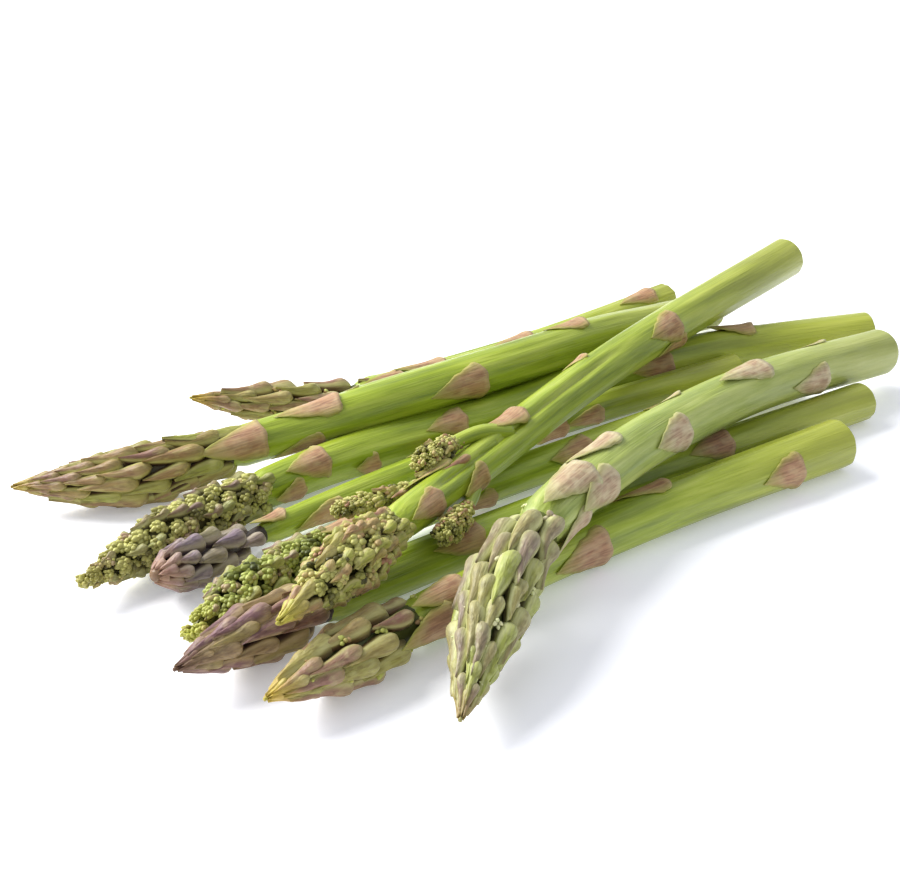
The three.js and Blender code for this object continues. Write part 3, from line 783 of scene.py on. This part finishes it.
def closed_head(spear, rng, style, last):
    """The hoods of a head from its tip to last, and the buds that show between them."""
    sink = style["sink"] + spear.get("sunk", 0)
    body = lambda along: core_radius(spear, along) - sink * ease(along / 12)
    growth = lambda z: 0.42 + 0.58 * ease((z + 2) / (0.7 * spear["head"]))
    feet = spiral_places(body, 2.5, last, lambda z: style["spacing"] * growth(z))
    hoods, fists = [], []
    for i, foot in enumerate(feet):
        foot = min(foot + rng.uniform(-0.6, 0.6), spear["head"] + 1.2)
        turn = i * GOLDEN_TURN + 0.7 + rng.uniform(-0.12, 0.12)
        size = float(growth(foot)) * rng.uniform(0.82, 1.2)
        long = min(style["length"] * size, foot - 0.9)
        hoods.append(blade_patch(
            body, foot, turn, long, hood_outline, style["width"] / 2 * size, rise=style["rise"] * size,
            shade=rng.random(), rng=rng, drop=style["drop"] * size, knuckle=style["knuckle"],
            lift=style["lift"] * size * rng.uniform(0.5, 1.3), ragged=0.04,
        ))
        if spear["kind"] == "loose" and foot > 8 and i % 2 == 0:
            aside = turn + 0.5
            at = foot + 0.3
            out = np.array([math.cos(aside), math.sin(aside), 0])
            centre = out * (float(body(at)) - 0.1) + [0, 0, at]
            fists += fist(centre, out, (0, 0, -1), 0.8 * size, 5, 0.62 * size, rng.uniform(0.5, 1.0), rng)
    for foot, turn, length, width, lift in spear.get("loose_bracts", []):
        hoods.append(blade_patch(
            body, foot, math.radians(turn), length, hood_outline, width / 2, rise=1.0,
            shade=rng.uniform(0.5, 1), rng=rng, drop=0.3, knuckle=0.3, lift=lift,
        ))
    return hoods, fists


print("hoods:", ", ".join(f"{kind} ones up to {style['length']} mm long" for kind, style in HOOD.items()))

# %% [markdown]
# The opened heads. The bracts have parted, and fists of small buds have pushed out between them and cover
# the head, with the bracts as small hoods among them. The same function makes the clubs of the side
# shoots, with finer buds. All pieces of one head that share a material are one object.

# %% Fists of buds on an opened head


def opened(radius_at, start, end, spacing, bead_size, hooded_every, rng, swell=0.0, beads=15):
    """Fists of buds and small hoods that cover a spindle from start to end."""
    hoods, fists = [], []
    places = spiral_places(radius_at, start, end, lambda z: spacing * (0.7 + 0.3 * ease(z / 15)))
    if start < 4:
        fists += fist(np.array([0, 0, start]), (0, 0, -1), (0, 1, 0), 0.26 * spacing, 9,
                      0.8 * bead_size, 0.6, rng)
    for i, at in enumerate(places):
        size = (0.7 + 0.3 * float(ease(at / 15))) * rng.uniform(0.88, 1.12)
        turn = i * GOLDEN_TURN + rng.uniform(-0.15, 0.15)
        out = np.array([math.cos(turn), math.sin(turn), 0])
        reach = float(radius_at(at)) - 0.3 * spacing * size + rng.uniform(-0.4, 0.4)
        reach = reach + swell * math.exp(-at / 5)
        reach = max(reach, 0.2)
        shade = rng.choice([0.2, 0.4, 0.6, 0.7, 0.85])
        fists += fist(out * reach + [0, 0, at], out + [0, 0, -0.4], (0, 0, -1), 0.36 * spacing * size,
                      beads, bead_size * size, shade, rng)
        if i % hooded_every == 0 and at > start + 2.5:
            hoods.append(blade_patch(
                radius_at, at + 0.6 * spacing * size, turn + rng.uniform(-0.3, 0.3), 1.5 * spacing * size,
                hood_outline, 0.46 * spacing * size, rise=0.36 * spacing * size, shade=rng.random(),
                rng=rng, drop=0.8, knuckle=0.6, lift=0.5, thickness=0.35, ragged=0.05,
            ))
    return hoods, fists


for number, spear in enumerate(SPEARS):
    rng = np.random.default_rng(90 + number)
    tint = spear["tint"]
    if spear["kind"] == "buds":
        shrink = 1.6
        closed = spear.get("closed_tip", 0)
        body = lambda z: core_radius(spear, z) - spear.get("sunk", 0) * ease(z / 12)
        hoods, fists = opened(body, max(2.0, closed - 3), spear["head"] - 0.8, 3.7, 0.78,
                              1 if closed else 2, rng, swell=0.0 if closed else 1.5)
        if closed:
            hoods += closed_head(spear, rng, HOOD["tight"], closed)[0]
    else:
        shrink = HOOD[spear["kind"]]["shrink"]
        hoods, fists = closed_head(spear, rng, HOOD[spear["kind"]], spear["head"] + 1.2)
    core = [core_patch(spear, shrink)]
    for ending, patches, material_of in (
        ("_core", core, bud_of), ("_bracts", hoods, bract_of), ("_buds", fists, bud_of),
    ):
        if patches:
            object_from(spear["name"] + ending, patches, spear["path"], material_of[tint],
                        spear["name"] + "_head")

# %% [markdown]
# Three side shoots have grown out of the scale leaves of the spear on top: thin green stalks that end in a
# club of buds. They are made on a straight line too, and bent on to theirs. One of them still has three
# small bracts on its stalk.

# %% Side shoots
STALK_ROWS = 40
STALK_SIDES = 16


def stalk_patch(length, radius):
    along = np.linspace(-1, length, STALK_ROWS)
    z, a = np.meshgrid(along, np.linspace(0, 2 * np.pi, STALK_SIDES, endpoint=False), indexing="ij")
    r = radius * (1.15 - 0.35 * z / length)
    points = np.stack([r * np.cos(a), r * np.sin(a), z], -1)
    last = STALK_ROWS * STALK_SIDES
    ends = [np.arange(STALK_SIDES)[None, ::-1], np.arange(last - STALK_SIDES, last)[None, :]]
    return patch(points, [grid_faces(STALK_ROWS, STALK_SIDES, True)] + ends, np.zeros_like(points))


def turned_round(patches, length):
    """Buds are laid out from the tip of a spear, and a side shoot's line starts at its foot."""
    for p in patches:
        p["points"] = p["points"] * [-1, 1, -1] + [0, 0, length]
    return patches


for number, shoot in enumerate(SHOOTS):
    rng = np.random.default_rng(120 + number)
    path = smooth_line(shoot["line"])
    length = path[1][-1]
    name = "spear_3_shoot_" + str(number + 1)
    object_from(name, [stalk_patch(length - 2, shoot["stalk"])], path, skin_of["green"],
                "spear_3_stem")
    club = lambda z: 0.3 + shoot["spray"] * np.sin(np.clip(z / shoot["budded"], 0, 1) ** 0.7 * np.pi) ** 0.8
    hoods, fists = opened(club, 1.0, shoot["budded"], 2.5, 0.62, 3, rng, beads=10)
    for foot, turn, blade_length, width in shoot.get("bracts", []):
        hoods.append(blade_patch(
            lambda z: 1.1 + 0 * z, foot, math.radians(turn), blade_length, hood_outline, width / 2,
            rise=1.1, shade=rng.random(), rng=rng, drop=0.5, knuckle=0.4, lift=0.5, thickness=0.35,
        ))
    object_from(name + "_hoods", turned_round(hoods, length), path, bract_of["sandy"],
                "spear_3_stem")
    object_from(name + "_buds", turned_round(fists, length), path, bud_of["sandy"],
                "spear_3_stem")

# %% [markdown]
# The camera stands in front of the heads and looks down on the bunch at 27 degrees, turned 37 degrees from
# the spears' own direction. Its lens is a 58 mm one on a full-frame sensor.

# %% Camera
CAMERA_PITCH = math.radians(27)
CAMERA_TURN = math.radians(37)
CAMERA_DISTANCE = 345.2
LOOKED_AT = np.array([-11.6, 29.0, 0.0])

back = np.array([
    -math.cos(CAMERA_PITCH) * math.sin(CAMERA_TURN),
    -math.cos(CAMERA_PITCH) * math.cos(CAMERA_TURN),
    math.sin(CAMERA_PITCH),
])
camera = bpy.data.objects.new("camera", bpy.data.cameras.new("camera"))
camera.data.lens = 58
camera.data.sensor_width = 36
camera.data.clip_start = 0.01
camera.data.clip_end = 20
camera.location = Vector((LOOKED_AT + back * CAMERA_DISTANCE) * MM)
camera.rotation_euler = Vector(-back).to_track_quat("-Z", "Y").to_euler()
bpy.context.scene.collection.objects.link(camera)
bpy.context.scene.camera = camera
print("the camera stands at", tuple(round(c, 3) for c in camera.location))

# %% [markdown]
# The bunch lies in a studio, on a sheet of white acrylic that is faintly lit from below, as a light table
# is. So the page stays white and the shadows stay light. Round it is a bright even sky, and one large soft
# light stands behind on the left. It gives the stems their pale upper edges and throws the soft shadows
# forward. The table lies a fifth of a millimetre under the bunch, so that no two faces share a place.

# %% Table and lights
TABLE_HALF = 3.0
TABLE_GLOW = 0.22
SKY_STRENGTH = 0.72

corners = [(-TABLE_HALF, -TABLE_HALF, 0), (TABLE_HALF, -TABLE_HALF, 0),
           (TABLE_HALF, TABLE_HALF, 0), (-TABLE_HALF, TABLE_HALF, 0)]
table = bpy.data.meshes.new("table")
table.from_pydata(corners, [], [(0, 1, 2, 3)])
table_top = bpy.data.objects.new("table", table)
table_top.location.z = -0.2 * MM
bpy.context.scene.collection.objects.link(table_top)
white = bpy.data.materials.new("white acrylic sheet, faintly lit from below")
white.use_nodes = True
paint = white.node_tree.nodes["Principled BSDF"]
paint.inputs["Base Color"].default_value = linear("#f5f5f7")
paint.inputs["Roughness"].default_value = 0.7
paint.inputs["Specular IOR Level"].default_value = 0.2
paint.inputs["Emission Color"].default_value = linear("#f5f7ff")
paint.inputs["Emission Strength"].default_value = TABLE_GLOW
table.materials.append(white)

sky = bpy.data.worlds.new("studio")
bpy.context.scene.world = sky
sky.use_nodes = True
sky.node_tree.nodes["Background"].inputs["Color"].default_value = linear("#f1f4ff")
sky.node_tree.nodes["Background"].inputs["Strength"].default_value = SKY_STRENGTH


def soft_light(name, place, size, power, target=(-0.01, -0.01, 0.0)):
    lamp = bpy.data.lights.new(name, "AREA")
    lamp.shape = "DISK"
    lamp.size = size
    lamp.energy = power
    holder = bpy.data.objects.new(name, lamp)
    holder.location = place
    holder.rotation_euler = (Vector(target) - Vector(place)).to_track_quat("-Z", "Y").to_euler()
    bpy.context.scene.collection.objects.link(holder)


soft_light("window behind", (-0.42, 0.7, 0.72), 0.8, 23)
bpy.context.scene.view_settings.view_transform = "Standard"
